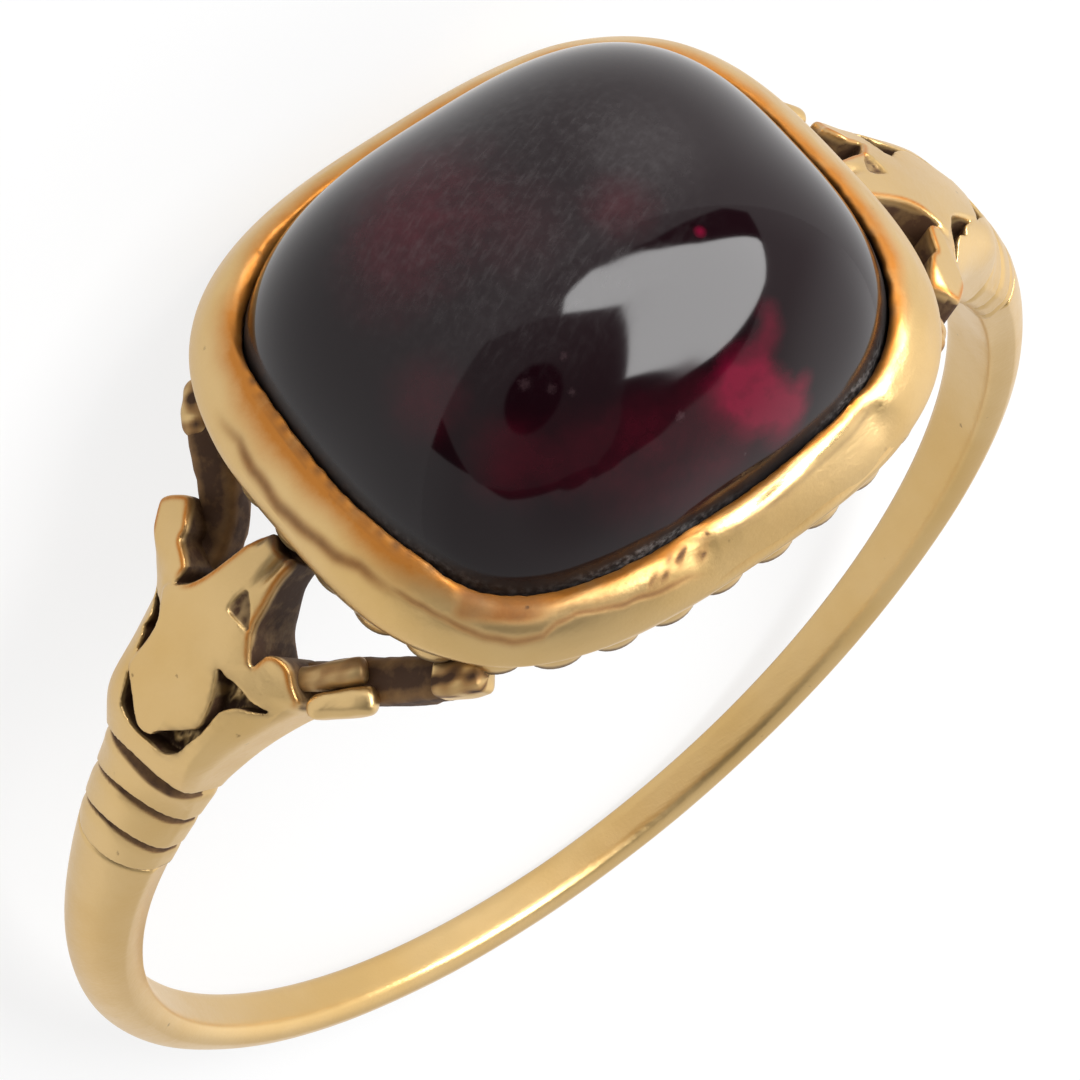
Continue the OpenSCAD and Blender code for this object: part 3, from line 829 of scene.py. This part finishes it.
LIP_TURNS, LIP_AROUND = 1100, 80  # sections round the stone, and points round each
lip_turns = even_turns(LIP_TURNS)
degrees = np.degrees(lip_turns)[:, None]
lifted = curve_through(LIP_RISE, 1, wrapped(degrees))
low, high, flat = (rounded(corners, LIP_AROUND) for corners in (LOW_LIP, HIGH_LIP, BURNISHED))
flat = flat - low - BURNISHED_RISE * (high - low)
burnished = rise(degrees, 249, 265) * (1 - rise(degrees, 301, 308))
out, height = (low[:, c] + lifted * (high - low)[:, c] + burnished * flat[:, c] for c in (0, 1))
shift = burnished * (np.interp(degrees, *np.transpose(BRIGHT_CORNER)) - CORNER)
out = out + shift * rise(out, 0.02, 0.14) * (1 - rise(out, 0.34, 0.66)) * (height > 9.6)
x, y = cushion(lip_turns, 0.3).T[..., None]

# Unevenness of hand work, everywhere but inside the collet
outside = rise(height - PUSH * lifted * (1 - rise(out, 0.1, 0.5)), 9.72, 9.98)
inner_edge = outside * (1 - rise(out, -0.04, 0.12))
height += outside * (0.012 * ripple(x, y, seed=21, size=3)
                     + 0.005 * ripple(x, y, out * 3, seed=22, size=0.9))
out += inner_edge * (0.01 * ripple(x, y, seed=23, size=0.9) + 0.007 * ripple(x, y, seed=24, size=0.35))
out += (1 - inner_edge) * outside * 0.01 * ripple(x, y, seed=25, size=2.4)
stone_there = drawn_in(np.clip((height - GIRDLE) / DOME, 0, 1))
out = np.maximum(out, (stone_there - 1) * STONE_WIDE / 2 + 0.012)

# The marks, each from 0 to 1, on the part of the lip that shows
seen = height > 9.6
groove = near_line(degrees, out + 0.015 * ripple(x, y, seed=26, size=1.2), GROOVE, 0.06) * seen
groove = groove * rise(degrees, 157, 170) * (1 - rise(degrees, 196, 209))
fold = near_line(degrees, out + 0.008 * ripple(x, y, seed=27, size=0.7), FOLD, 0.034) * seen
fold = fold * rise(degrees, 199, 209) * (1 - rise(degrees, 250, 261))
# A dark line just beyond the bright corner is painted shade where the side turns down
dark_edge = near_line(degrees, out - 0.11, BRIGHT_CORNER, 0.035) * burnished * seen
torn = out + 0.02 * ripple(x, y, out, seed=34, size=0.25)
scars = near_line(degrees, torn, LONG_SCAR, 0.085) + near_line(degrees, torn, SHORT_SCAR, 0.05)
scars = scars * seen * (0.45 + 0.75 * rise(ripple(x, y, out, seed=35, size=0.3), -0.4, 0.7))
polish = near_line(degrees, out + 0.01 * ripple(x, y, seed=28, size=1.2), BRIGHT_CORNER, 0.075) * seen
height -= 0.03 * groove + 0.012 * fold
lip = np.stack([*np.moveaxis(cushion(lip_turns[:, None], out), -1, 0), height], -1)

# Copper stain spreads out from the stone, and brown lies in the marks and where nothing rubs; painted
# shade darkens the inner wall by the stone, a line beside the bright corner and the side beyond it
right = near(degrees, -70, 34)
reach = (0.42 + 0.07 * ripple(x, y, seed=31, size=1.8) + 0.1 * near(degrees, 172, 30)
         + 0.1 * near(degrees, -124, 20)) * (1 - 0.5 * right)
stain = np.clip((1.25 + 0.3 * right) * (1 - rise(out, -0.02, reach)), 0, 1)
burnt = rise(degrees, 213, 216) * (1 - rise(degrees, 225, 233))
burnt = burnt * rise(out, 0.02, 0.09) * (1 - rise(out, 0.34, 0.47)) * seen
burnt = burnt * (0.88 + 0.12 * ripple(x, y, out * 2, seed=36, size=0.8))
# The lip's inner wall, down by the stone, is painted dark as shade
wall = (1 - rise(height - PUSH * lifted, 9.86, 9.99)) * (out < 0.1)
inner_burn = 0.5 * (1 - rise(out, 0, 0.1)) * (0.6 + 0.5 * ripple(x, y, seed=33, size=0.4))
# Beyond the bright band the side is rougher, and painted darker as shade
matte_and_shade = 0.26 * rise(out, 0.34, 0.42) * near(degrees, -72, 34)
patina = np.max([0.55 * groove, 0.6 * fold, 0.68 * burnt, 0.75 * scars, 0.5 * dark_edge], axis=0)
patina = np.clip(patina + 0.8 * wall + inner_burn + matte_and_shade, 0, 1)
stain = np.max([stain, burnt, 0.7 * groove, 0.6 * fold, 0.6 * scars], axis=0)
rim_lip = make_piece("rim_lip", lip, {"patina": patina, "stain": stain, "polish": polish}, gold,
                     skin(lip, True))
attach(rim_lip, "root"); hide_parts("gold_mount")

# Garnet
# One high cushion cabochon, polished by hand, dark red, with light from inside it painted on as a few
# glowing spots.
# It sits in the closed collet and the lip holds it all round.
lifts = np.sin(np.linspace(0, math.pi / 2, 96))
levels = np.append(drawn_in(lifts[:-1]), 0.004)
# Share of the outline, and height above its widest line: the foot with its edge cut off, the dome
STONE = [(0.9, -0.52), (0.985, -0.5), (1, -0.38), (1, -0.1), *zip(levels, DOME * lifts)]
rings = np.array([level(turns, 0, GIRDLE + up, share) for share, up in STONE])
degrees = np.degrees(turns)
above_lip = rings[..., 2] - 9.98 - PUSH * curve_through(LIP_RISE, 1, wrapped(degrees))
grime = 1 - rise(above_lip, 0.14, 0.4)
residue = near(degrees, -108, 15) + near(degrees, -54, 9) + 0.3 * near(degrees, -150, 20)
residue = residue * (1 - rise(above_lip, 0.1, 0.19))


BODY, WINE, CRIMSON = (0.0052, 0.0012, 0.0022, 1), (0.07, 0.003, 0.01, 1), (0.112, 0.0015, 0.015, 1)
SOOT, CHALK, WORN = (0.012, 0.01, 0.01, 1), (0.17, 0.16, 0.155, 1), (0.2, 0.19, 0.19, 1)
ROSE, DUST = (0.36, 0.22, 0.24, 1), (0.35, 0.33, 0.33, 1)
# Painted glow, where light comes back out of the stone: x, y, z in the ring, how far it shows, strength
GLINTS = [
    (0.72, -3.1, 11.75, 0.42, 1), (0.92, -3.3, 11.42, 0.42, 1), (1.14, -3.45, 11.08, 0.38, 0.9),
    (0.66, -3.44, 11.16, 0.36, 0.8), (1.1, -3.62, 10.7, 0.36, 0.6), (1.62, -3.4, 11.12, 0.18, 0.5),
    (1.4, -3.52, 10.85, 0.26, 0.5), (1.24, -2.92, 11.89, 0.26, 0.4), (1.52, -2.64, 12.12, 0.2, 0.28),
    (1.46, -2.81, 11.97, 0.2, 0.3), (0.35, -3.15, 11.66, 0.4, 0.45), (1.27, -1.36, 12.84, 0.09, 1)]
# Broad, faint painted glow in wine red, laid out the same way
GLOW_HAZE = [
    (-1.5, 1.6, 12.7, 1.1, 0.28), (-2.3, 1, 12.55, 0.9, 0.26), (-0.9, 0.3, 13, 0.8, 0.12),
    (0.58, -0.42, 13.04, 0.5, 0.26), (-3.2, -0.9, 12.05, 0.6, 0.28), (-2.8, -2.3, 11.9, 0.6, 0.3),
    (-1.9, -2.8, 11.8, 0.6, 0.2), (-1, -2.95, 11.9, 0.5, 0.2), (-0.2, -3.2, 11.6, 0.7, 0.2),
    (-1.3, -3.4, 11.2, 0.7, 0.16), (0.2, -3.6, 10.9, 0.6, 0.26), (-0.6, -3.7, 10.6, 0.6, 0.2)]
# Small painted pink sparks, laid out the same way
GLOW_SPECKS = [
    (-2.1, -1.72, 12.53, 0.08, 0.6), (-1.44, -1.76, 12.68, 0.06, 0.5),
    (-1.82, -1.99, 12.49, 0.07, 0.4), (-1.61, -2.18, 12.44, 0.05, 0.5),
    (-0.38, -3.08, 11.76, 0.07, 0.9), (-2.55, 0.85, 12.52, 0.09, 0.5)]


def glow(s, spots, ragged):
    """Share of painted glow, for light from inside the stone, brightest at the spots, with ragged edges.
    """
    total = 0
    for *spot, reach, strength in spots:
        apart = s.apart(spot) + (ragged - 0.5) * (0.8 * reach)
        total = total + strength * (1 - apart.spread(0, 1.5 * reach))
    return total.limited()


def garnet_finish(s):
    """Deep red with painted glow in places, under fine scratches and a little dirt beside the lip."""
    fine, cloud = s.noise(0.16, 5, 0.65), s.noise(0.4, 5, 0.65)
    tone = s.tint((glow(s, GLOW_HAZE, cloud) * (0.4 + 1.2 * s.noise(0.35, 4, 0.6))).limited(), BODY, WINE)
    lit = glow(s, GLINTS, 0.7 * s.noise(0.5, 2) + 0.3 * s.noise(0.06, 3))
    tone = s.tint((lit * (0.45 + 1.1 * s.noise(0.24, 4, 0.6))).limited(), tone, CRIMSON)
    hair = (s.noise(0.07, 2, 0.5, 8, (0, -0.39, 0.09)).spread(0.5, 0.75)
            + s.noise(0.1, 2, 0.5, 5, (0, -0.2, 0.5)).spread(0.5, 0.8))
    rubbed = 1 - s.apart((1.5, 0.25, 12.94)).spread(0.1, 1.35)
    crown = 1 - s.apart((-0.6, 0.9, 13)).spread(1.2, 3.6)
    worn = 0.07 * rubbed * (0.4 + 1.2 * fine) + crown * (0.035 * hair + 0.05 * fine.spread(0.4, 0.8))
    tone = s.tint(worn.limited(), tone, WORN)
    tone = s.tint(0.07 * glow(s, GLOW_SPECKS, 3 * s.noise(0.04, 3) - 1), tone, ROSE)
    dust = (1 - s.to_spots(0.9).spread(0.025, 0.045)) * s.noise(1.3, 2).spread(0.55, 0.62)
    tone = s.tint(0.3 * dust, tone, DUST)
    grime = (s.mark("grime") * (0.5 + fine)).limited()
    tone = s.tint(grime, tone, SOOT)
    tone = s.tint((s.mark("residue") * s.noise(0.09, 4, 0.7).spread(0.38, 0.72)).limited(), tone, CHALK)
    return {"Base Color": tone,
            "Roughness": (0.05 + 0.05 * hair * crown + 0.05 * rubbed + 0.04 * s.noise(1.2, 4, 0.6)
                          + 0.4 * grime).limited()}


# The polish is dulled by wear, so the stone mirrors less than a new one
garnet = shader("garnet", {"IOR": 1.7, "Specular IOR Level": 0.17}, garnet_finish)
stone = make_piece("garnet_cabochon", rings, {"grime": grime, "residue": residue}, garnet)
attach(stone, "root"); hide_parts("garnet")

# Floor, light and camera
# A plain pale table, a large soft light overhead and the photograph's view of the ring. The studio
# that the stone and the gold mirror is painted into the world.
bpy.ops.mesh.primitive_plane_add(size=2)
floor = bpy.context.object
floor.name = "table"
floor.data.materials.append(shader("pale_table", {
    "Base Color": (0.16, 0.16, 0.16, 1), "Roughness": 0.9, "Emission Color": (1, 1, 1, 1),
    "Emission Strength": 0.76}, lambda s: {}))


# The stone mirrors the studio: white all round but for the dark room in front, with a window in it
# and a grey card round the camera. Outlines are bearing, and lowest and highest height, in degrees.
ROOM = [(turn, low, 95) for turn, low in (
    (-180, 70), (-171, 68), (-162, 63), (-154, 54), (-150.5, 40), (-149.5, 3), (-141, 1), (-124, 6),
    (-115, 9), (-109, 7), (-100, 10), (-96, 15), (-82, 7), (-69, 0), (-37, -4), (-22, -10),
    (-20.5, 5), (-20, 24), (-15, 37), (-8, 50), (-6, 75), (40, 87), (120, 86), (158, 81), (166, 73),
    (180, 70))]
WINDOW = [
    (-149.8, 40, 36), (-149, 17, 62), (-147, 16.5, 65), (-143, 16, 64), (-131, 17, 60),
    (-126, 17, 58.5), (-116, 14, 56.5), (-111, 10, 56), (-109, 7, 40), (-100, 10, 20), (-97, 15, 15),
    (-96, 20, 10)]
CARD = [
    (-134, 84, 80), (-132, 81, 83), (-118, 65, 86), (-114, 44, 87), (-111, 26, 88), (-97, 15, 88),
    (-82, 6, 87), (-69, 0, 87), (-37, -4, 83), (-27, 11, 78), (-20, 23, 74), (-17, 29, 66),
    (-15, 48, 50), (-14, 60, 40)]
TO_CAMERA = (0.297, -0.752, 0.588)

world = bpy.data.worlds.new("studio")
world.use_nodes = True
sky = Socket(world.node_tree)
direction = sky.add("ShaderNodeTexCoord", out=0)
parts = sky.add("ShaderNodeSeparateXYZ", {}, {0: direction})
east, north, up = (parts.other(axis) for axis in range(3))
bearing = sky.sum("ARCTAN2", north, east) * (180 / math.pi)
height = sky.sum("ARCSINE", up) * (180 / math.pi)


def towards(way):
    """Cosine between the direction looked in and a way."""
    return sky.add("ShaderNodeVectorMath", {"operation": "DOT_PRODUCT"},
                   {0: direction, 1: Vector(way).normalized()}, out=1)


def within(outline, soft=0.7):
    """1 in directions inside an outline, 0 outside it."""
    stops = [(turn / 360 + 0.5, (low / 200 + 0.5, high / 200 + 0.5, 0, 1))
             for turn, low, high in outline]
    edges = sky.add("ShaderNodeValToRGB", {"stops": stops}, {"Fac": bearing * (1 / 360) + 0.5})
    edges = sky.add("ShaderNodeSeparateColor", {}, {"Color": edges})
    low, high = (200 * edges.other(side) - 100 for side in (0, 1))
    return (height - low).spread(-soft, soft) * (high - height).spread(-soft, soft)


def painted(under, share, brightness):
    return under + share * (brightness - under)


glare = 0.96 - 0.13 * up.spread(0, 0.35) - 0.2 * up.spread(0.75, 1)
glare = glare + 0.65 * towards((-0.8, 0.45, 0.45)).spread(0.76, 1)
glare = painted(glare, within(ROOM), 0.05)
glare = painted(glare, within(WINDOW), 13)
glare = painted(glare, within(CARD), 0.5 - 0.3 * up.spread(0.2, 0.85))
glare = painted(glare, towards(TO_CAMERA).spread(0.962, 0.972), 0)
background = sky.tree.nodes["Background"].inputs
sky.tree.links.new(glare.socket, background["Strength"])
background["Color"].default_value = (1, 1, 1, 1)
scene = bpy.context.scene
scene.world = world

camera = bpy.data.objects.new("camera", bpy.data.cameras.new("camera"))
camera.data.lens, camera.data.sensor_width = 167.3056, 36
camera.data.clip_start, camera.data.clip_end = 0.005, 5
# The camera's right, up and back, and where it is, in metres
VIEW = [(-0.79581, 0.12722, 0.59203), (-0.52317, -0.63678, -0.5664), (0.30494, -0.76048, 0.57331),
        (0.024298, -0.061585, 0.048154)]
camera.matrix_world = Matrix([*zip(*VIEW), (0, 0, 0, 1)])
scene.view_settings.view_transform = "Standard"
scene.collection.objects.link(camera)
scene.camera = camera
